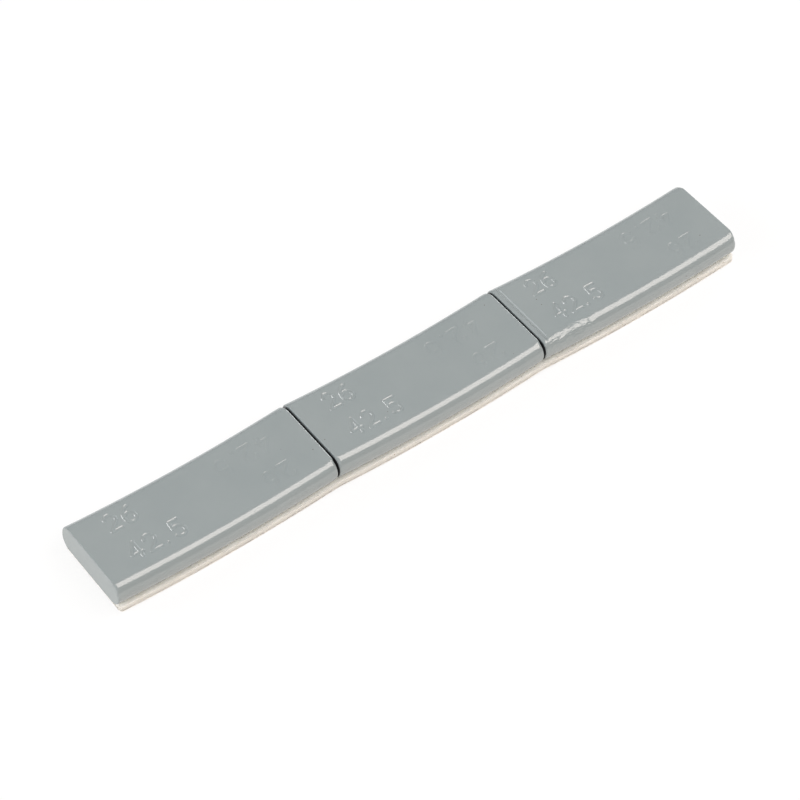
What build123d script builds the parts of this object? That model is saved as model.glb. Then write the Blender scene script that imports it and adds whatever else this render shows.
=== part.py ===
from build123d import *
from build123d.topology import SkipClean
import math
import os

# Stick-on wheel balance weight: bent steel bars on one strip of foam tape with a release liner.
# X runs along the strip, Y across it, Z up and away from the rim. Z = 0 is the plane it rests on.
# All sizes are in millimetres.

# Steel bars, in order along X
segment_names = ["left_segment", "middle_segment", "right_segment"]
stepped_segments = ["right_segment"]
segment_length = 50.8  # along the underside
segment_width = 19.8
segment_thickness = 5.67
underside_radius = 285.0  # bend of the underside, to suit the inside of a rim
seam_gap = 0.06  # between the undersides of neighbouring bars

# Rolled section of the bar
top_edge_radius = 2.6
bottom_edge_radius = 2.2

# Ends of the bar, sheared off: the left one square to the bend and the right one upright
leading_end_radius = 0.35
trailing_end_radius = 0.45
overrun_angle = 0.5  # degrees of bend beyond the right end, taken off by its cut
step_length = 1.2  # shear mark across the top of a stepped bar's left end
step_depth = 0.18

# Foam tape and its release liner, cut together
tape_thickness = 1.3
liner_thickness = 0.2
side_tape_inset = 0.18  # of the tape's edges from the sides of the steel
left_tape_inset = 0.5  # of its ends from the ends of the steel
right_tape_inset = 0.15
tape_corner_radius = 0.8  # corners of the strip, seen from above
fold_radius = 12.0  # soft bend of the liner's underside at each seam

# Places that follow from the sizes
half_angle = math.degrees(segment_length / 2 / underside_radius)
half_chord = underside_radius * math.sin(math.radians(half_angle))
pitch = 2 * half_chord + seam_gap
first_centre = -pitch * (len(segment_names) - 1) / 2
segment_centres = [first_centre + pitch * index for index in range(len(segment_names))]
tape_width = segment_width - 2 * side_tape_inset
tape_radius = underside_radius + tape_thickness
liner_radius = tape_radius + liner_thickness
bend_height = liner_radius  # of the bend axes above the resting plane
underside_height = bend_height - underside_radius
topside_height = underside_height + segment_thickness


def bar_section():
    """Section of the rolled bar: flat faces, with soft top edges and slightly tighter bottom ones."""
    with BuildSketch(Plane.YZ) as section:
        with Locations((0, (underside_height + topside_height) / 2)):
            Rectangle(segment_width, segment_thickness)
        top_corners = section.vertices().group_by(Axis.Y)[-1]
        fillet(top_corners, top_edge_radius)
        bottom_corners = section.vertices().group_by(Axis.Y)[0]
        fillet(bottom_corners, bottom_edge_radius)
    return section.sketch


def bent_bar():
    """One bar bent about an axis above it, cut square to the bend on the left and upright on the right."""
    bend_axis = Axis((0, 0, bend_height), (0, -1, 0))
    left_end = bar_section().rotate(bend_axis, -half_angle)
    bar = revolve(left_end, axis=bend_axis, revolution_arc=2 * half_angle + overrun_angle)
    bar = split(bar, bisect_by=Plane.YZ.offset(half_chord), keep=Keep.BOTTOM)
    left_edges = bar.faces().sort_by(Axis.X)[0].edges()
    bar = fillet(left_edges, leading_end_radius)
    right_edges = bar.faces().sort_by(Axis.X)[-1].edges()
    return fillet(right_edges, trailing_end_radius)


def stepped_bar():
    """A bar whose left end has a shallow step across the top, left by the shear."""
    bar = bent_bar()
    step_angle = (segment_length / 2 - step_length) / underside_radius
    towards_rest = (math.cos(step_angle), 0, -math.sin(step_angle))
    step_plane = Plane(origin=(0, 0, bend_height), z_dir=towards_rest)
    end = split(bar, bisect_by=step_plane, keep=Keep.BOTTOM)
    rest = split(bar, bisect_by=step_plane, keep=Keep.TOP)
    floor_radius = underside_radius - segment_thickness + step_depth
    above_floor = Pos(0, 0, bend_height) * Rot(90, 0, 0) * Cylinder(floor_radius, 2 * segment_width)
    with SkipClean():  # faces stay split at the step, as clean four-sided patches
        return end - above_floor + rest


def strip_layer(inner_radius, outer_radius, inner_fold, outer_fold):
    """One layer of the strip: arcs under each bar that meet in a crease at each seam, extruded across."""
    strip_left = segment_centres[0] - half_chord + left_tape_inset
    strip_right = segment_centres[-1] + half_chord - right_tape_inset
    creases = [centre + pitch / 2 for centre in segment_centres[:-1]]
    limits = [strip_left] + creases + [strip_right]
    profile = Sketch()
    for centre, left, right in zip(segment_centres, limits[:-1], limits[1:]):
        ring = Pos(centre, bend_height) * (Circle(outer_radius) - Circle(inner_radius))
        window = Pos((left + right) / 2, 0) * Rectangle(right - left, bend_height)
        profile += ring & window
    for crease in creases:
        at_crease = profile.vertices().sort_by(lambda corner: abs(corner.X - crease))[:2]
        lower, upper = at_crease.sort_by(Axis.Y)
        profile = fillet(lower, outer_fold)
        if inner_fold:
            profile = fillet(upper, inner_fold)
    layer = extrude(Plane.XZ * profile, amount=tape_width / 2, both=True)
    end_edges = layer.edges().filter_by(Axis.Z)
    return fillet(end_edges, tape_corner_radius)


def main():
    os.makedirs("parts", exist_ok=True)
    parts = {}
    for name, centre in zip(segment_names, segment_centres):
        bar = stepped_bar() if name in stepped_segments else bent_bar()
        parts[name] = Pos(centre, 0, 0) * bar
    tape_fold = fold_radius + liner_thickness
    parts["foam_tape"] = strip_layer(underside_radius, tape_radius, 0, tape_fold)
    parts["release_liner"] = strip_layer(tape_radius, liner_radius, tape_fold, fold_radius)
    for name, part in parts.items():
        export_step(part, f"parts/{name}.step")


main()
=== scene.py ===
import math

import bpy
import numpy as np
from mathutils import Matrix, Vector


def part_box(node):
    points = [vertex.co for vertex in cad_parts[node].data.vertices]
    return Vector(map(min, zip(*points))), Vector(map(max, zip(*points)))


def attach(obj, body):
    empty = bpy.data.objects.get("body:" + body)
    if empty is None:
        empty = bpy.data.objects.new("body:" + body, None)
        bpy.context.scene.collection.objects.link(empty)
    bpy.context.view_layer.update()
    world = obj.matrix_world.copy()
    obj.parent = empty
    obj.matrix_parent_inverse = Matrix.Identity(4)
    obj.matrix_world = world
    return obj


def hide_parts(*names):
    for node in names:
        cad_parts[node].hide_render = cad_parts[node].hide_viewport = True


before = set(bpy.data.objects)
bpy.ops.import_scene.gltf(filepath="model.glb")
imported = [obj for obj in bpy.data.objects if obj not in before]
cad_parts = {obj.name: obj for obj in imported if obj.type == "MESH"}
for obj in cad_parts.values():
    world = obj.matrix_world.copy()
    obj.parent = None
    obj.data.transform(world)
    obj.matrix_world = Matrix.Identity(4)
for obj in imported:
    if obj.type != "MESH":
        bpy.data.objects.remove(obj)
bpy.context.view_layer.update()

# Stick-on wheel balance weight: coated steel bars with pressed numbers, on foam tape with a paper liner.
# X runs along the strip, Y across it, Z up. Lengths are in millimetres where nothing else is said.
MM = 0.001

# Bars, with the left end square to the bend and the right end upright
BAR_NODES = ["left_segment", "middle_segment", "right_segment"]
BAR_LENGTH = 50.8  # along the underside
BAR_THICKNESS = 5.67
UNDERSIDE_RADIUS = 285.0
SEAM_GAP = 0.06
TOP_EDGE_RADIUS = 2.6
BOTTOM_EDGE_RADIUS = 2.7  # a little more than the CAD's, to bare the tape as in the photo

# Rounding of the end edges, by the lean of the section's face from straight up, in degrees towards the back
END_LEANS = [-180, -90, -60, -25, 0, 25, 60, 90, 180]
CRISP_LEFT_RADII = [0.12, 0.30, 0.50, 0.55, 0.15, 0.45, 0.40, 0.35, 0.12]
SOFT_LEFT_RADII = [0.12, 0.35, 0.65, 0.80, 0.16, 0.45, 0.40, 0.35, 0.12]
CRISP_RIGHT_RADII = [1.00, 0.90, 1.00, 0.60, 0.12, 0.60, 0.90, 0.90, 1.00]
SOFT_RIGHT_RADII = [1.00, 0.60, 0.75, 0.85, 0.38, 0.70, 0.90, 0.90, 1.00]
LEFT_RADII = {
    "left_segment": CRISP_LEFT_RADII,
    "middle_segment": SOFT_LEFT_RADII,
    "right_segment": CRISP_LEFT_RADII,
}
RIGHT_RADII = {
    "left_segment": SOFT_RIGHT_RADII,
    "middle_segment": SOFT_RIGHT_RADII,
    "right_segment": CRISP_RIGHT_RADII,
}

# Shear step across the top of a stepped bar's left end: a low band, a groove and a ramp up to the top
STEPPED_NODES = ["right_segment"]
STEP_PLACES = [0.0, 0.96, 1.02, 1.10, 1.16, 1.42, 1.66]  # from the end
STEP_DEPTHS = [0.20, 0.20, 0.32, 0.32, 0.21, 0.20, 0.0]
STEP_ZONE = 1.9  # end of the fine mesh over it

# Strip of tape and liner
TAPE_CORNER_RADIUS = 0.8
FOLD_RADIUS = 12.0  # of the liner's underside at a seam

# Places that the frame gives
bar_low, bar_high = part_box("middle_segment")
tape_low, tape_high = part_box("foam_tape")
BAR_WIDTH = (bar_high.y - bar_low.y) / MM
UNDERSIDE_HEIGHT = bar_low.z / MM
TAPE_LEFT = tape_low.x / MM
TAPE_RIGHT = tape_high.x / MM
TAPE_HALF_WIDTH = tape_high.y / MM
LINER_THICKNESS = tape_low.z / MM
TAPE_THICKNESS = UNDERSIDE_HEIGHT - LINER_THICKNESS
BEND_HEIGHT = UNDERSIDE_HEIGHT + UNDERSIDE_RADIUS
HALF_ANGLE = BAR_LENGTH / 2 / UNDERSIDE_RADIUS
HALF_CHORD = UNDERSIDE_RADIUS * math.sin(HALF_ANGLE)
PITCH = 2 * HALF_CHORD + SEAM_GAP
BAR_CENTRES = [-PITCH, 0.0, PITCH]
SEAMS = [centre + PITCH / 2 for centre in BAR_CENTRES[:-1]]
SEAM_TOP = BEND_HEIGHT - (UNDERSIDE_RADIUS - BAR_THICKNESS) * math.cos(HALF_ANGLE)

# Mesh spacing on the bars
FINE_STEP = 0.07  # over the numbers
FAINT_STEP = 0.16  # over the faint numbers
STEP_STEP = 0.03  # over the shear step
COARSE_STEP = 0.5  # on the plain stretches
TOP_ARC_COUNT = 18
BOTTOM_ARC_COUNT = 8
SIDE_COUNT = 6
UNDERSIDE_COUNT = 10
END_ARC_COUNT = 8
CAP_RIM = 0.15  # ring just inside the edge of an end face
UPWARD = 0.999  # least height of a unit normal that counts as the flat top

# Pressed numbers: each bar's mass in grams at the front, and iron's atomic number at the back
FRONT_NUMBER = "42.5"
BACK_NUMBER = "26"
FRONT_ROW = -5.4  # Y of the foot of the front row
BACK_ROW = 2.6
ROW_START = 6.8  # from the left end of the bar
DIGIT_HEIGHT = 4.0
DIGIT_WIDTH = 2.5
DIGIT_ADVANCE = 3.7
POINT_ADVANCE = 2.3
STROKE_WIDTH = 0.62
STROKE_SLOPE = 0.20  # width of a groove's sloping side
NUMBER_DEPTH = 0.13
ROW_MARGIN = 0.6  # of fine mesh beyond a row
FAINT_NUMBER_DEPTH = 0.08  # of the same numbers turned round, at the right end
BOW_POINTS = 14  # along a curved stroke


def mesh_object(name, points, faces, material):
    """A smooth mesh of millimetre points, as an object in the scene."""
    mesh = bpy.data.meshes.new(name)
    mesh.from_pydata((np.asarray(points) * MM).tolist(), [], faces)
    mesh.validate()
    mesh.shade_smooth()
    mesh.materials.append(material)
    piece = bpy.data.objects.new(name, mesh)
    bpy.context.scene.collection.objects.link(piece)
    return piece


def tube_faces(ring_count, ring_size):
    """Quads between neighbouring rings of points, and one flat face over each end."""
    faces = []
    for ring in range(ring_count - 1):
        start = ring * ring_size
        for place in range(ring_size):
            beside = (place + 1) % ring_size
            here, there = start + place, start + beside
            faces.append((here, there, there + ring_size, here + ring_size))
    faces.append(tuple(reversed(range(ring_size))))
    faces.append(tuple(range((ring_count - 1) * ring_size, ring_count * ring_size)))
    return faces


# Numbers


def bow(centre_x, centre_y, radius_x, radius_y, start, end):
    """Points along part of an ellipse, from one angle in degrees to another."""
    turn = np.radians(np.linspace(start, end, BOW_POINTS))
    return [(centre_x + radius_x * math.cos(a), centre_y + radius_y * math.sin(a)) for a in turn]


# Strokes of each character, in a cell one wide and one high
CHARACTERS = {
    "2": [bow(0.5, 0.69, 0.46, 0.31, 165, -35) + [(0.02, 0.0), (1.0, 0.0)]],
    "4": [[(0.74, 0.0), (0.74, 1.0), (0.0, 0.28), (1.0, 0.28)]],
    "5": [[(0.94, 1.0), (0.14, 1.0), (0.08, 0.54)] + bow(0.47, 0.32, 0.5, 0.32, 130, -145)],
    "6": [bow(0.5, 0.31, 0.47, 0.31, 0, 360), bow(0.97, 0.36, 0.94, 0.64, 180, 98)],
    ".": [[(0.12, 0.0), (0.12, 0.02)]],
}


def number_segments(text, start, foot):
    """Straight pieces of a number's strokes, as rows of (s0, y0, s1, y1) from the bar's left end."""
    segments = []
    for character in text:
        for stroke in CHARACTERS[character]:
            spots = [(start + x * DIGIT_WIDTH, foot + y * DIGIT_HEIGHT) for x, y in stroke]
            segments += [a + b for a, b in zip(spots[:-1], spots[1:])]
        start += POINT_ADVANCE if character == "." else DIGIT_ADVANCE
    return np.array(segments)


def turned_round(segments):
    """The same strokes at the other end of the bar, upside down."""
    return np.array([BAR_LENGTH, 0.0, BAR_LENGTH, 0.0]) - segments


def stroke_depth(along, across, segments, depth):
    """Depth of the pressed strokes at points given by their places along and across the bar."""
    nearest = np.full(along.shape, np.inf)
    for s0, y0, s1, y1 in segments:
        ds, dy = s1 - s0, y1 - y0
        share = ((along - s0) * ds + (across - y0) * dy) / (ds * ds + dy * dy)
        share = np.clip(share, 0.0, 1.0)
        nearest = np.minimum(nearest, np.hypot(along - s0 - share * ds, across - y0 - share * dy))
    rise = np.clip((STROKE_WIDTH / 2 + STROKE_SLOPE / 2 - nearest) / STROKE_SLOPE, 0.0, 1.0)
    return depth * rise


NUMBERS = np.concatenate([
    number_segments(FRONT_NUMBER, ROW_START, FRONT_ROW),
    number_segments(BACK_NUMBER, ROW_START, BACK_ROW),
])
NUMBER_ZONE = (NUMBERS[:, [0, 2]].min() - STROKE_WIDTH, NUMBERS[:, [0, 2]].max() + STROKE_WIDTH)


# Bars


def straight(start, end, normal, count):
    """Points along a straight run of the section with their outward normal, without the last one."""
    share = np.linspace(0, 1, count, endpoint=False)[:, None]
    places = np.array(start) * (1 - share) + np.array(end) * share
    return np.hstack([places, np.tile(normal, (count, 1))])


def rounded(centre, radius, start, end, count):
    """Points along a rounded corner of the section with their outward normals, without the last one."""
    turn = np.radians(np.linspace(start, end, count, endpoint=False))
    normals = np.stack([np.cos(turn), np.sin(turn)], axis=1)
    return np.hstack([np.array(centre) + radius * normals, normals])


def bar_section():
    """Section of a bar, once round from the top's front, as rows of y, height and the outward normal."""
    half = BAR_WIDTH / 2
    top_y, foot_y = half - TOP_EDGE_RADIUS, half - BOTTOM_EDGE_RADIUS
    top, shoulder = BAR_THICKNESS, BAR_THICKNESS - TOP_EDGE_RADIUS
    foot = BOTTOM_EDGE_RADIUS
    front_row = (FRONT_ROW - ROW_MARGIN, FRONT_ROW + DIGIT_HEIGHT + ROW_MARGIN)
    limits = [-top_y, *front_row, BACK_ROW - ROW_MARGIN, top_y]
    spacings = [COARSE_STEP, FINE_STEP, COARSE_STEP, FINE_STEP]
    top_runs = [
        straight((start, top), (end, top), (0, 1), round((end - start) / spacing))
        for start, end, spacing in zip(limits[:-1], limits[1:], spacings)
    ]
    return np.concatenate(top_runs + [
        rounded((top_y, shoulder), TOP_EDGE_RADIUS, 90, 0, TOP_ARC_COUNT),
        straight((half, shoulder), (half, foot), (1, 0), SIDE_COUNT),
        rounded((foot_y, foot), BOTTOM_EDGE_RADIUS, 0, -90, BOTTOM_ARC_COUNT),
        straight((foot_y, 0), (-foot_y, 0), (0, -1), UNDERSIDE_COUNT),
        rounded((-foot_y, foot), BOTTOM_EDGE_RADIUS, -90, -180, BOTTOM_ARC_COUNT),
        straight((-half, foot), (-half, shoulder), (-1, 0), SIDE_COUNT),
        rounded((-top_y, shoulder), TOP_EDGE_RADIUS, 180, 90, TOP_ARC_COUNT),
    ])


def bar_stations(node):
    """Places of the plain rings along a bar, between the roundings of its two ends."""
    start = max(LEFT_RADII[node])
    end = BAR_LENGTH - max(RIGHT_RADII[node]) - CAP_RIM
    numbers_start, numbers_end = NUMBER_ZONE
    zones = [
        (numbers_start, numbers_end, FINE_STEP),
        (BAR_LENGTH - numbers_end, BAR_LENGTH - numbers_start, FAINT_STEP),
        (end, end, COARSE_STEP),
    ]
    if node in STEPPED_NODES:
        zones.insert(0, (start, STEP_ZONE, STEP_STEP))
    runs = []
    for zone_start, zone_end, spacing in zones:
        plain_count = math.ceil((zone_start - start) / COARSE_STEP)
        zone_count = round((zone_end - zone_start) / spacing)
        runs.append(np.linspace(start, zone_start, plain_count, endpoint=False))
        runs.append(np.linspace(zone_start, zone_end, zone_count, endpoint=False))
        start = zone_end
    return np.concatenate(runs + [[end]])


def end_rings(section, radii):
    """Rings round an end's edge, from its flat face outwards: distances from the end, and insets."""
    lean = np.degrees(np.arctan2(section[:, 2], section[:, 3]))
    radius = np.interp(lean, END_LEANS, radii)
    bend = np.radians(np.linspace(90, 0, END_ARC_COUNT, endpoint=False))[:, None]
    back = np.vstack([0 * radius, (1 - np.sin(bend)) * radius])
    inset = np.vstack([radius + CAP_RIM, (1 - np.cos(bend)) * radius])
    return back, inset


def bar_points(node, centre):
    """Points of one bar, ring by ring from its left end, bent to the rim's radius."""
    section = bar_section()
    left_back, left_inset = end_rings(section, LEFT_RADII[node])
    right_back, right_inset = (rings[::-1] for rings in end_rings(section, RIGHT_RADII[node]))
    plain = np.repeat(bar_stations(node)[:, None], len(section), axis=1)
    along = np.vstack([left_back, plain])
    inset = np.vstack([left_inset, np.zeros_like(plain), right_inset])
    ceiling = np.full_like(inset, BAR_THICKNESS)
    if node in STEPPED_NODES:
        ceiling[:len(along)] -= np.interp(along, STEP_PLACES, STEP_DEPTHS)
    across = section[:, 0] - inset * section[:, 2]
    height = np.minimum(section[:, 1], ceiling) - inset * section[:, 3]
    on_top = np.flatnonzero(section[:, 3] > UPWARD)
    rows = np.arange(len(left_back), len(along))
    top = np.ix_(rows, on_top)
    height[top] -= np.maximum(
        stroke_depth(along[top], across[top], NUMBERS, NUMBER_DEPTH),
        stroke_depth(along[top], across[top], turned_round(NUMBERS), FAINT_NUMBER_DEPTH),
    )
    radius = UNDERSIDE_RADIUS - height
    upright = (HALF_CHORD - right_back) / radius[len(along):]
    angle = np.vstack([along / UNDERSIDE_RADIUS - HALF_ANGLE, np.arcsin(upright)])
    x = centre + radius * np.sin(angle)
    z = BEND_HEIGHT - radius * np.cos(angle)
    return np.stack([x, across, z], axis=-1).reshape(-1, 3), len(inset), len(section)


def build_bar(node, centre, material):
    """One bar as an object, named after its node."""
    points, ring_count, ring_size = bar_points(node, centre)
    name = node.replace("segment", "bar")
    return mesh_object(name, points, tube_faces(ring_count, ring_size), material)


# Tape and liner

STRIP_STEP = 0.16
CORNER_COUNT = 10
TAPE_ROWS = [0.0, 0.03, 0.09, 0.13, 0.2, 0.32, 0.48, 0.64, 0.8, 0.93, 1.0]  # shares of the thickness
LINER_ROWS = [0.0, 0.15, 0.5, 0.85, 1.0]
FACE_COLUMNS = [0.06, 0.15, 0.3, 0.5, 0.8, 1.2, 2.0, 4.0]  # distances in from the strip's edge
EDGE_ROUNDING = 0.05
EDGE_SHARPNESS = 12  # power that keeps the rounding close to the edge

# Unevenness of the cut edge
TAPE_SEED = 3
LINER_SEED = 8
TAPE_WANDER = 0.03  # to either side
LINER_WANDER = 0.02
WANDER_INSET = 0.4  # share of the wander by which the whole edge is drawn in
SLOW_BEND = 6.0  # lengths of the slow, middling and quick bends in it
MIDDLE_BEND = 1.7
QUICK_BEND = 0.55
MIDDLE_SHARE = 0.6  # height of the middling bends against the slow ones
SLOW_SHARE = 0.5  # share of the wander that slow and middling bends take together
QUICK_SHARE = 0.15

# Open cells in the tape's cut edge
PORE_COUNT = 900
PORE_DEPTH = 0.035
PORE_SHARES = (0.3, 1.0)  # least and most of that depth
PORE_SIZES = (0.08, 0.24)
PORE_REACH = 3  # sizes from its middle at which a pore ends
PORE_LEVEL = 0.1  # least depth of its middle below the steel
PORE_LIMIT = 1.6  # most that pores together draw in, in depths of one

# Slits where the tape's top film has come away, along its front
SLITS = [(27.5, 34.5), (-6.0, -3.5)]
SLIT_DEPTH = 0.16
SLIT_ROWS = (0.08, 0.14)  # shares of the thickness between which they lie
SLIT_BLUNTNESS = 0.3  # power that keeps them deep almost to their ends


def strip_height(x, depth, fold):
    """Height of a layer's face, at a depth below the steel, with a soft fold at each seam."""
    radius = UNDERSIDE_RADIUS + depth
    centre = np.clip(np.round(x / PITCH) * PITCH, BAR_CENTRES[0], BAR_CENTRES[-1])
    height = BEND_HEIGHT - np.sqrt(radius ** 2 - (x - centre) ** 2)
    if fold:
        reach = PITCH / 2 / (1 + radius / fold)
        edge = BEND_HEIGHT - math.sqrt(radius ** 2 - (PITCH / 2 - reach) ** 2)
        for seam in SEAMS:
            off = x - seam
            soft = edge + (reach ** 2 - off ** 2) / (2 * fold)
            height = np.where(np.abs(off) < reach, soft, height)
    return height


def strip_stations():
    """Places along the strip with the half width there, drawn in round the corners."""
    bend = np.radians(np.linspace(0, 90, CORNER_COUNT, endpoint=False))
    draw = TAPE_CORNER_RADIUS * (1 - np.sin(bend))
    into = TAPE_CORNER_RADIUS * (1 - np.cos(bend))
    inner_left, inner_right = TAPE_LEFT + TAPE_CORNER_RADIUS, TAPE_RIGHT - TAPE_CORNER_RADIUS
    plain = np.linspace(inner_left, inner_right, round((inner_right - inner_left) / STRIP_STEP))
    places = np.concatenate([TAPE_LEFT + into, plain, (TAPE_RIGHT - into)[::-1]])
    narrowing = np.concatenate([draw, np.zeros(len(plain)), draw[::-1]])
    return places, TAPE_HALF_WIDTH - narrowing


def wander(x, length, random):
    """A smooth random line along the strip, one unit to either side at most, with bends of one length."""
    knots = np.arange(TAPE_LEFT - 2 * length, TAPE_RIGHT + 3 * length, length)
    values = random.uniform(-1, 1, len(knots))
    place = (x - knots[0]) / length
    index = place.astype(int)
    share = place - index
    share = share * share * (3 - 2 * share)
    return values[index] * (1 - share) + values[index + 1] * share


def pores(x, depth, random, count):
    """How far small open cells draw the cut side in, at points along it and down it."""
    drawn = np.zeros(np.broadcast(x, depth).shape)
    for _ in range(count):
        place = random.uniform(TAPE_LEFT, TAPE_RIGHT)
        level = random.uniform(PORE_LEVEL, TAPE_THICKNESS)
        size = random.uniform(*PORE_SIZES)
        near = np.abs(x[:, 0] - place) < PORE_REACH * size
        gap = ((x[near] - place) ** 2 + (depth - level) ** 2) / size ** 2
        drawn[near] += PORE_DEPTH * random.uniform(*PORE_SHARES) * np.exp(-gap)
    return np.minimum(drawn, PORE_LIMIT * PORE_DEPTH)


def slits(x, shares):
    """How far the slits draw the cut side in, at points along it and down it."""
    drawn = np.zeros(np.broadcast(x, shares).shape)
    upper, lower = SLIT_ROWS
    for start, end in SLITS:
        inside = (x > start) & (x < end) & (shares > upper) & (shares < lower)
        fade = np.sin(np.pi * np.clip((x - start) / (end - start), 0, 1)) ** SLIT_BLUNTNESS
        drawn += np.where(inside, SLIT_DEPTH * fade, 0)
    return drawn


def strip_layer(name, top_depth, thickness, rows, folds, material, seed, edge_wander, pore_count):
    """One layer of the strip, in rings that run over the top, down the back, under and up the front."""
    random = np.random.default_rng(seed)
    x, half = strip_stations()
    x, half = x[:, None], half[:, None]
    shares = np.array(rows)[None, :]
    calm = np.minimum(1.0, np.minimum(x - TAPE_LEFT, TAPE_RIGHT - x) / (2 * TAPE_CORNER_RADIUS))
    rounding = EDGE_ROUNDING * np.abs(2 * shares - 1) ** EDGE_SHARPNESS

    def side():
        """Half width of the cut side at every station and row."""
        slow = wander(x, SLOW_BEND, random) + MIDDLE_SHARE * wander(x, MIDDLE_BEND, random)
        quick = np.concatenate([wander(x, QUICK_BEND, random) for _ in rows], axis=1)
        uneven = edge_wander * (SLOW_SHARE * slow + QUICK_SHARE * quick)
        cells = pores(x, shares * thickness, random, pore_count)
        return half - rounding + calm * (uneven - edge_wander * WANDER_INSET - cells)

    front, back = side(), side()
    top = strip_height(x, top_depth, folds[0])
    bottom = strip_height(x, top_depth + thickness, folds[1])
    level = top * (1 - shares) + bottom * shares
    if pore_count:
        front = front - slits(x, shares)
    inner = half - np.array(FACE_COLUMNS)[None, :]
    across_top = np.hstack([-inner, np.zeros_like(x), inner[:, ::-1]])
    ring_y = np.hstack([across_top, back, -across_top, -front[:, ::-1]])
    ring_z = np.hstack([
        np.repeat(top, across_top.shape[1], axis=1),
        level,
        np.repeat(bottom, across_top.shape[1], axis=1),
        level[:, ::-1],
    ])
    ring_x = np.repeat(x, ring_y.shape[1], axis=1)
    points = np.stack([ring_x, ring_y, ring_z], axis=-1).reshape(-1, 3)
    return mesh_object(name, points, tube_faces(len(x), ring_y.shape[1]), material)


# Materials

SPECK_CORE = 0.6  # share of a speck's radius inside its soft edge
MOST_NOISE = (0.3, 0.7)  # range that most values of a noise lie in


def add_node(tree, kind, inputs=None, **settings):
    """Adds a shader node with its settings. An input is a value, or another node's output to link."""
    node = tree.nodes.new(kind)
    for name, value in settings.items():
        setattr(node, name, value)
    for name, value in (inputs or {}).items():
        if isinstance(value, bpy.types.NodeSocket):
            tree.links.new(value, node.inputs[name])
        else:
            node.inputs[name].default_value = value
    return node


def new_material(name):
    """A node material with its shader, output and object coordinates ready."""
    material = bpy.data.materials.new(name)
    material.use_nodes = True
    tree = material.node_tree
    place = add_node(tree, "ShaderNodeTexCoord").outputs["Object"]
    return material, tree, tree.nodes["Principled BSDF"], place


def noise(tree, place, size, detail=2.0, roughness=0.5):
    """Noise with features of about the given size in millimetres, from 0 to 1."""
    inputs = {"Vector": place, "Scale": 1 / (size * MM), "Detail": detail, "Roughness": roughness}
    return add_node(tree, "ShaderNodeTexNoise", inputs).outputs["Fac"]


def spread(tree, value, low, high, to_low=0.0, to_high=1.0):
    """A value's range from low to high, stretched to another range and held at its ends."""
    inputs = {"Value": value, "From Min": low, "From Max": high, "To Min": to_low, "To Max": to_high}
    return add_node(tree, "ShaderNodeMapRange", inputs, clamp=True).outputs["Result"]


def maths(tree, operation, *values):
    """Values joined by a sum, product or other operation."""
    return add_node(tree, "ShaderNodeMath", dict(enumerate(values)), operation=operation).outputs[0]


def tinted(tree, share, first, second):
    """A colour that goes from the first to the second as share goes from 0 to 1."""
    inputs = {"Fac": share, "Color1": first, "Color2": second}
    return add_node(tree, "ShaderNodeMixRGB", inputs).outputs["Color"]


def stretched(tree, place, along):
    """Coordinates in which a pattern is drawn out along the strip: along is its scale that way."""
    inputs = {"Vector": place, "Scale": (along, 1.0, 1.0)}
    return add_node(tree, "ShaderNodeMapping", inputs).outputs["Vector"]


def bump(tree, shader, height, distance, strength=1.0):
    """Tilts the shader's surface by a height, which counts in units of the distance in millimetres."""
    inputs = {"Strength": strength, "Distance": distance * MM, "Height": height}
    tilted = add_node(tree, "ShaderNodeBump", inputs).outputs["Normal"]
    tree.links.new(tilted, shader.inputs["Normal"])


def specks(tree, place, cell, size, share):
    """Small round specks: 1 inside one and 0 outside, on the given share of cells of that size."""
    cells = add_node(tree, "ShaderNodeTexVoronoi", {"Vector": place, "Scale": 1 / (cell * MM)})
    inside = spread(tree, cells.outputs["Distance"], size / cell * SPECK_CORE, size / cell, 1.0, 0.0)
    picked = add_node(tree, "ShaderNodeSeparateColor", {"Color": cells.outputs["Color"]}).outputs[0]
    chosen = maths(tree, "LESS_THAN", picked, share)
    return maths(tree, "MULTIPLY", inside, chosen)


# Coat: colours, gloss, and the sizes and heights of its unevenness
COAT_GREY = (0.321, 0.367, 0.378, 1.0)
COAT_PALE = (0.335, 0.380, 0.390, 1.0)
COAT_SPECK = (0.17, 0.13, 0.11, 1.0)
COAT_DRIFT_SIZE = 9.0  # of the paler patches
COAT_DRIFT_RANGE = (0.35, 0.65)
COAT_DIRT = {"cell": 1.6, "size": 0.13, "share": 0.08}
COAT_ROUGHNESS = (0.11, 0.16)
COAT_GLOSS_SIZE = 2.4
LINE_SIZE = 0.25  # of the rolling lines, across the bar
LINE_STRETCH = 0.07
LINE_HEIGHT = 0.002
PEEL_SIZE = 0.34
PEEL_HEIGHT = 0.010
WAVE_SIZE = 1.8
WAVE_HEIGHT = 0.014
PIMPLES = {"cell": 1.3, "size": 0.14, "share": 0.04}
PIMPLE_HEIGHT = 0.014

# Wrinkles in the coat, on the front edge of the last bar
WRINKLES = (SEAMS[-1] + 2, SEAMS[-1] + 12)  # stretch where they are full
WRINKLE_DEPTH = 3.2  # of that edge, from the front
WRINKLE_SIZE = 0.6
WRINKLE_STRETCH = 0.4
WRINKLE_HEIGHT = 0.18
WRINKLE_RISE = 1.0  # over which they begin
WRINKLE_FADE = 3.0  # over which they fade out
FAINT_WRINKLES = 0.12  # share of their height on the rest of that bar

# Painted shade inside the seams: the coat's colour goes dark deep on the end faces that look at each other
# across a seam
SEAM_PAINTED_SHADE = (0.07, 0.075, 0.08, 1.0)
SEAM_SHADE_DEPTHS = (0.85, 0.45)  # depths below the top at which the painted shade is full and at which it begins
END_FACING = (0.85, 0.97)  # part along X of a unit normal, from an end's rounding to its flat

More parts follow.
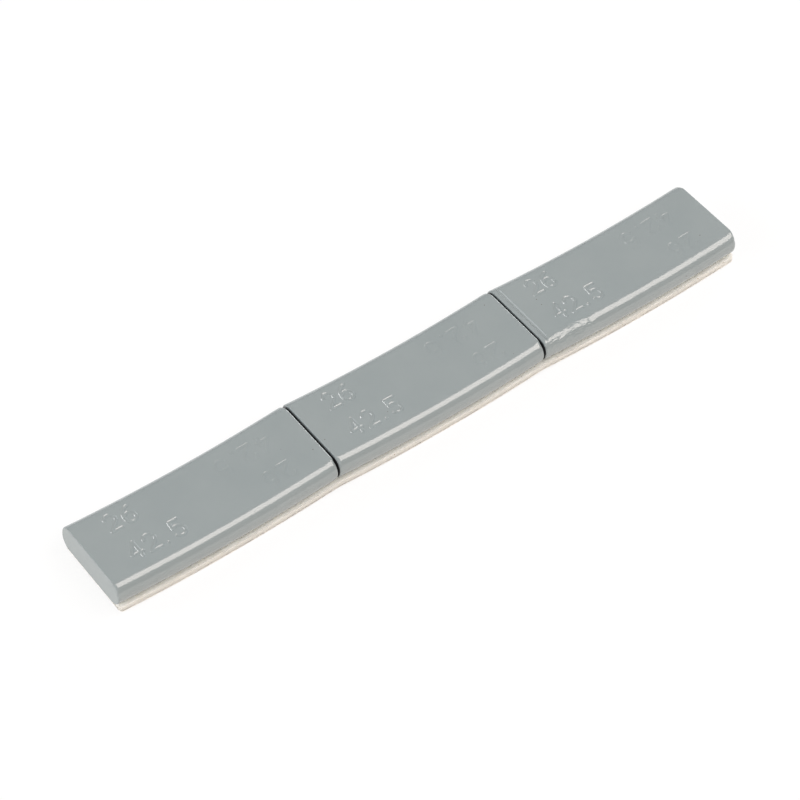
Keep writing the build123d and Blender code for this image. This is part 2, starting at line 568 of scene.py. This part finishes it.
# Foam
FOAM_CREAM = (0.93, 0.92, 0.86, 1.0)
FOAM_DEEP = (0.91, 0.88, 0.80, 1.0)
FOAM_SPECK = (0.30, 0.20, 0.12, 1.0)
FOAM_STAIN_SIZE = 3.0
FOAM_STAIN_RANGE = (0.5, 0.75)
FOAM_GRIT = {"cell": 1.0, "size": 0.12, "share": 0.16}
FOAM_CELL = 0.22
FOAM_GRAIN = 0.12
FOAM_RELIEF = 0.05  # height of its cells
FOAM_RELIEF_SHARE = 0.6
FOAM_GLOW = 1.2  # how far light spreads inside it

# Liner
LINER_PALE = (0.98, 0.96, 0.91, 1.0)
LINER_DEEP = (0.94, 0.91, 0.85, 1.0)
LINER_CLOUD_SIZE = 5.0
LINER_CLOUD_RANGE = (0.35, 0.7)
LINER_ROUGHNESS = (0.5, 0.65)
LINER_GLOSS_SIZE = 1.2
FIBRE_SIZE = 0.35
FIBRE_HEIGHT = 0.02
FIBRE_SHARE = 0.5


def seam_shade_mask(tree, parts):
    """Painted-shade mask: 1 deep on the end faces that look at each other across a seam, and 0 elsewhere.
    """
    normal = add_node(tree, "ShaderNodeNewGeometry").outputs["Normal"]
    facing = add_node(tree, "ShaderNodeSeparateXYZ", {"Vector": normal}).outputs["X"]
    is_end = spread(tree, maths(tree, "ABSOLUTE", facing), *END_FACING)
    is_inside = maths(tree, "LESS_THAN", maths(tree, "ABSOLUTE", parts["X"]), PITCH * MM)
    lowest, highest = ((SEAM_TOP - depth) * MM for depth in SEAM_SHADE_DEPTHS)
    is_deep = spread(tree, parts["Z"], lowest, highest, 1.0, 0.0)
    return maths(tree, "MULTIPLY", maths(tree, "MULTIPLY", is_end, is_inside), is_deep)


def wrinkled_share(tree, parts):
    """Share of the wrinkles' height: full on their stretch of the front edge and faint after it."""
    start, end = (edge * MM for edge in WRINKLES)
    rise, fade = WRINKLE_RISE * MM, WRINKLE_FADE * MM
    inner = (WRINKLE_DEPTH - BAR_WIDTH / 2) * MM
    begun = spread(tree, parts["X"], start - rise, start)
    faded = spread(tree, parts["X"], end, end + fade, 1.0, FAINT_WRINKLES)
    in_front = spread(tree, parts["Y"], inner - rise, inner, 1.0, 0.0)
    return maths(tree, "MULTIPLY", maths(tree, "MULTIPLY", begun, faded), in_front)


def coat_material():
    """Satin grey coat on steel, with rolling lines, a fine orange peel, wrinkles, pimples and specks, and
    painted shade deep in the seams.
    """
    material, tree, shader, place = new_material("grey_coat")
    drift = spread(tree, noise(tree, place, COAT_DRIFT_SIZE, detail=3.0), *COAT_DRIFT_RANGE)
    colour = tinted(tree, drift, COAT_GREY, COAT_PALE)
    dirt = specks(tree, place, **COAT_DIRT)
    colour = tinted(tree, dirt, colour, COAT_SPECK)
    parts = add_node(tree, "ShaderNodeSeparateXYZ", {"Vector": place}).outputs
    # painted shade: the coat's colour goes dark deep inside the seams
    colour = tinted(tree, seam_shade_mask(tree, parts), colour, SEAM_PAINTED_SHADE)
    tree.links.new(colour, shader.inputs["Base Color"])
    gloss = spread(tree, noise(tree, place, COAT_GLOSS_SIZE, detail=3.0), *MOST_NOISE, *COAT_ROUGHNESS)
    tree.links.new(gloss, shader.inputs["Roughness"])
    shader.inputs["Specular IOR Level"].default_value = 1.0
    ripples = noise(tree, stretched(tree, place, WRINKLE_STRETCH), WRINKLE_SIZE, detail=1.0)
    layers = [
        (noise(tree, stretched(tree, place, LINE_STRETCH), LINE_SIZE), LINE_HEIGHT),
        (noise(tree, place, PEEL_SIZE), PEEL_HEIGHT),
        (noise(tree, place, WAVE_SIZE, detail=1.0), WAVE_HEIGHT),
        (specks(tree, place, **PIMPLES), PIMPLE_HEIGHT),
        (maths(tree, "MULTIPLY", ripples, wrinkled_share(tree, parts)), WRINKLE_HEIGHT),
    ]
    height = 0.0
    for layer, tall in layers:
        height = maths(tree, "MULTIPLY_ADD", layer, tall, height)
    bump(tree, shader, height, distance=1.0)
    return material


def foam_material():
    """Cream foam with a cut skin of tiny cells, a few stains and specks."""
    material, tree, shader, place = new_material("cream_foam")
    stain = noise(tree, place, FOAM_STAIN_SIZE, detail=5.0, roughness=0.65)
    colour = tinted(tree, spread(tree, stain, *FOAM_STAIN_RANGE), FOAM_CREAM, FOAM_DEEP)
    grit = specks(tree, place, **FOAM_GRIT)
    colour = tinted(tree, grit, colour, FOAM_SPECK)
    tree.links.new(colour, shader.inputs["Base Color"])
    shader.inputs["Roughness"].default_value = 0.85
    shader.inputs["Specular IOR Level"].default_value = 0.3
    shader.inputs["Subsurface Weight"].default_value = 1.0
    shader.inputs["Subsurface Radius"].default_value = (1.0, 1.0, 1.0)
    shader.inputs["Subsurface Scale"].default_value = FOAM_GLOW * MM
    cells = add_node(tree, "ShaderNodeTexVoronoi", {"Vector": place, "Scale": 1 / (FOAM_CELL * MM)})
    grain = noise(tree, place, FOAM_GRAIN, detail=3.0)
    height = maths(tree, "ADD", cells.outputs["Distance"], grain)
    bump(tree, shader, height, FOAM_RELIEF, FOAM_RELIEF_SHARE)
    return material


def liner_material():
    """Pale release paper with faint fibres."""
    material, tree, shader, place = new_material("release_paper")
    cloud = noise(tree, place, LINER_CLOUD_SIZE, detail=5.0, roughness=0.6)
    colour = tinted(tree, spread(tree, cloud, *LINER_CLOUD_RANGE), LINER_PALE, LINER_DEEP)
    tree.links.new(colour, shader.inputs["Base Color"])
    gloss = spread(tree, noise(tree, place, LINER_GLOSS_SIZE, detail=3.0), *MOST_NOISE, *LINER_ROUGHNESS)
    tree.links.new(gloss, shader.inputs["Roughness"])
    fibres = noise(tree, place, FIBRE_SIZE, detail=5.0, roughness=0.7)
    bump(tree, shader, fibres, FIBRE_HEIGHT, FIBRE_SHARE)
    return material


# Floor, lamps and camera

WHITE = (1.0, 1.0, 1.0, 1.0)
FLOOR_SIDE = 4.0  # metres
FLOOR_DROP = 0.02  # millimetres below the weight
FLOOR_WHITE = (0.86, 0.80, 0.735, 1.0)
FLOOR_SEEN = (0.15, 0.15, 0.15, 1.0)  # for the camera and reflections, which see white added to it
FLOOR_LIFT = 0.86
WORLD_FILL = 0.20  # strength of the surround as light
WORLD_MIRRORED = 0.28  # in reflections
WORLD_SEEN = 1.0  # behind everything

# Each lamp: direction towards it, its distance, width and height in metres, radiance, colour
WARM = (1.08, 1.0, 0.94)
NEUTRAL = (1.0, 1.0, 1.0)
LAMPS = {
    "key_softbox": ((0.409, -0.357, 0.840), 1.2, 0.75, 0.775, 3.75, WARM),
    "left_softbox": ((-0.83, 0.12, 0.40), 1.2, 1.0, 0.55, 3.85, NEUTRAL),
    "left_small_box": ((-0.62, 0.51, 0.60), 1.2, 0.5, 0.7, 1.4, NEUTRAL),
    "back_right_strip": ((0.85, 0.50, 0.20), 1.3, 0.5, 0.45, 5.5, NEUTRAL),
    "back_right_box": ((0.85, 0.50, 0.20), 1.31, 0.5, 0.45, 4.5, NEUTRAL),
    "front_fill": ((-0.05, -0.69, 0.72), 1.5, 0.8, 0.8, 2.65, WARM),
}
UNMIRRORED_LAMPS = ["left_softbox", "back_right_box", "front_fill"]  # not seen in the coat's gloss
END_ON = 0.7  # part along X of a lamp's direction, above which it is turned level across X

# Camera fitted to the photo's outline, in a frame 800 pixels square
FRAME_PIXELS = 800
FOCAL_PIXELS = 2739.3
SENSOR_WIDTH = 36.0
CAMERA_TURN = -37.310  # degrees, as are lift and roll
CAMERA_LIFT = 50.080
CAMERA_ROLL = 0.797
CAMERA_AIM = (-2.845, 0.744, UNDERSIDE_HEIGHT)
CAMERA_DISTANCE = 544.92


def ray_kinds(tree):
    """Two values: 1 for what the camera sees directly, and 1 for what it sees in a reflection."""
    path = add_node(tree, "ShaderNodeLightPath")
    return path.outputs["Is Camera Ray"], path.outputs["Is Glossy Ray"]


def add_floor():
    """A wide white floor that keeps the shadow and looks white to the camera."""
    half = FLOOR_SIDE / 2 / MM
    corners = [(x * half, y * half, -FLOOR_DROP) for x, y in ((-1, -1), (1, -1), (1, 1), (-1, 1))]
    material = bpy.data.materials.new("white_floor")
    material.use_nodes = True
    tree = material.node_tree
    shader = tree.nodes["Principled BSDF"]
    shader.inputs["Roughness"].default_value = 1.0
    shader.inputs["Specular IOR Level"].default_value = 0.0
    shader.inputs["Emission Color"].default_value = WHITE
    seen = maths(tree, "MAXIMUM", *ray_kinds(tree))
    tree.links.new(tinted(tree, seen, FLOOR_WHITE, FLOOR_SEEN), shader.inputs["Base Color"])
    tree.links.new(maths(tree, "MULTIPLY", seen, FLOOR_LIFT), shader.inputs["Emission Strength"])
    floor = mesh_object("floor", corners, [(0, 1, 2, 3)], material)


def add_world():
    """A plain white surround that fills the shadows and reflects as white."""
    world = bpy.data.worlds.new("studio")
    bpy.context.scene.world = world
    world.use_nodes = True
    tree = world.node_tree
    seen, mirrored = ray_kinds(tree)
    strength = maths(tree, "MULTIPLY_ADD", mirrored, WORLD_MIRRORED - WORLD_FILL, WORLD_FILL)
    strength = maths(tree, "MULTIPLY_ADD", seen, WORLD_SEEN - WORLD_FILL, strength)
    tree.links.new(strength, tree.nodes["Background"].inputs["Strength"])
    tree.nodes["Background"].inputs["Color"].default_value = WHITE


def add_lamp(name, towards, distance, width, height, radiance, colour):
    """A rectangular softbox that faces the object, level along X, or across it where it stands end on."""
    lamp = bpy.data.lights.new(name, "AREA")
    lamp.shape = "RECTANGLE"
    lamp.size = width
    lamp.size_y = height
    lamp.energy = radiance * math.pi * width * height
    lamp.color = colour
    back = Vector(towards).normalized()
    right = (Vector((1, 0, 0)) - back.x * back).normalized()
    if abs(back.x) > END_ON:
        right = Vector((0, 0, 1)).cross(back).normalized()
    up = back.cross(right)
    holder = bpy.data.objects.new(name, lamp)
    bpy.context.scene.collection.objects.link(holder)
    turn = Matrix((right, up, back)).transposed().to_4x4()
    holder.matrix_world = Matrix.Translation(back * distance) @ turn
    holder.visible_glossy = name not in UNMIRRORED_LAMPS


def add_camera():
    """The photo's camera."""
    turn, lift, roll = (math.radians(angle) for angle in (CAMERA_TURN, CAMERA_LIFT, CAMERA_ROLL))
    level = Vector((math.sin(turn), -math.cos(turn), 0)) * math.cos(lift)
    back = level + Vector((0, 0, math.sin(lift)))
    right = Vector((math.cos(turn), math.sin(turn), 0))
    up = back.cross(right)
    rolled_right = right * math.cos(roll) + up * math.sin(roll)
    rolled_up = up * math.cos(roll) - right * math.sin(roll)
    camera = bpy.data.cameras.new("photo_camera")
    camera.sensor_width = SENSOR_WIDTH
    camera.lens = FOCAL_PIXELS * SENSOR_WIDTH / FRAME_PIXELS
    holder = bpy.data.objects.new("photo_camera", camera)
    bpy.context.scene.collection.objects.link(holder)
    place = (Vector(CAMERA_AIM) + back * CAMERA_DISTANCE) * MM
    axes = Matrix((rolled_right, rolled_up, back)).transposed().to_4x4()
    holder.matrix_world = Matrix.Translation(place) @ axes
    bpy.context.scene.camera = holder


# The weight
coat = coat_material()
for bar_node, bar_centre in zip(BAR_NODES, BAR_CENTRES):
    bar = build_bar(bar_node, bar_centre, coat)
    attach(bar, "root")
    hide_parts(bar_node)

tape_fold = FOLD_RADIUS + LINER_THICKNESS
tape = strip_layer(
    "foam_strip", 0.0, TAPE_THICKNESS, TAPE_ROWS, (0, tape_fold), foam_material(),
    seed=TAPE_SEED, edge_wander=TAPE_WANDER, pore_count=PORE_COUNT,
)
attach(tape, "root")
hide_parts("foam_tape")

liner = strip_layer(
    "liner_sheet", TAPE_THICKNESS, LINER_THICKNESS, LINER_ROWS, (tape_fold, FOLD_RADIUS),
    liner_material(), seed=LINER_SEED, edge_wander=LINER_WANDER, pore_count=0,
)
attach(liner, "root")
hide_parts("release_liner")

# The studio
add_floor()
add_world()
for lamp_name, lamp_settings in LAMPS.items():
    add_lamp(lamp_name, *lamp_settings)
add_camera()
bpy.context.scene.view_settings.view_transform = "Standard"
